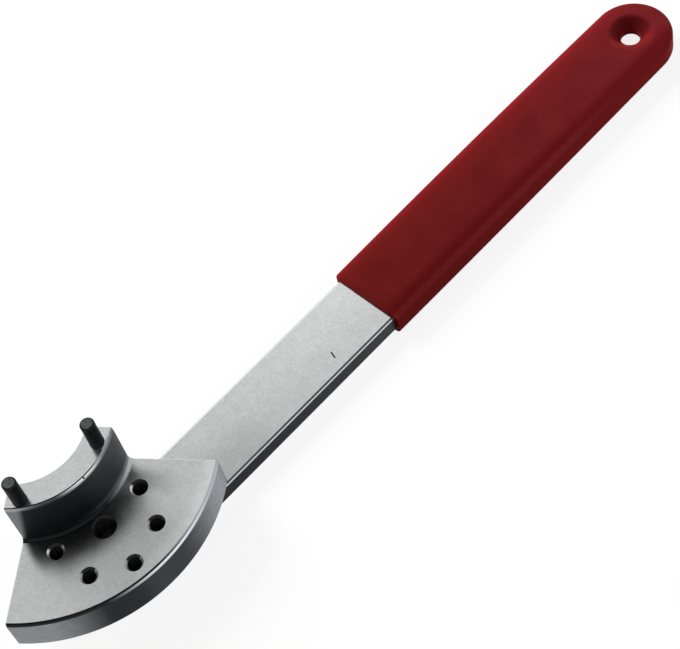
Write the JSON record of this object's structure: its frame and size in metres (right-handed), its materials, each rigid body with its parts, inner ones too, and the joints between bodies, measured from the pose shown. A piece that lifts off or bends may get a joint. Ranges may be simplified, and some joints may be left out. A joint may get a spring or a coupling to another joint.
{
  "type": "belt tension wrench",
  "caption": "Rigid pin wrench for turning a belt tensioner: quarter-ring steel head with a raised crescent and drive pins, screwed to a flat bar with a dipped vinyl grip.",
  "frame": {"origin": "middle of the part's footprint at its lowest face, the back of the grip", "axes": "+X along the bar from the head to the grip, +Z the way the drive pins point"},
  "size_m": [0.2482, 0.0362, 0.0424],
  "materials": {
    "steel": "pale matte zinc grey with a fine blasted grain, brighter along worn edges",
    "black_steel": "black oxide, satin",
    "red_vinyl": "dipped vinyl, deep red, satin"
  },
  "bodies": {
    "root": {"handle_bar": "steel", "handle_grip": "red_vinyl", "head_plate": "steel", "pin_crescent": "steel", "drive_pin_left": "black_steel", "drive_pin_right": "black_steel", "centre_screw": "black_steel", "index_screw": "black_steel"}
  },
  "joints": []
}
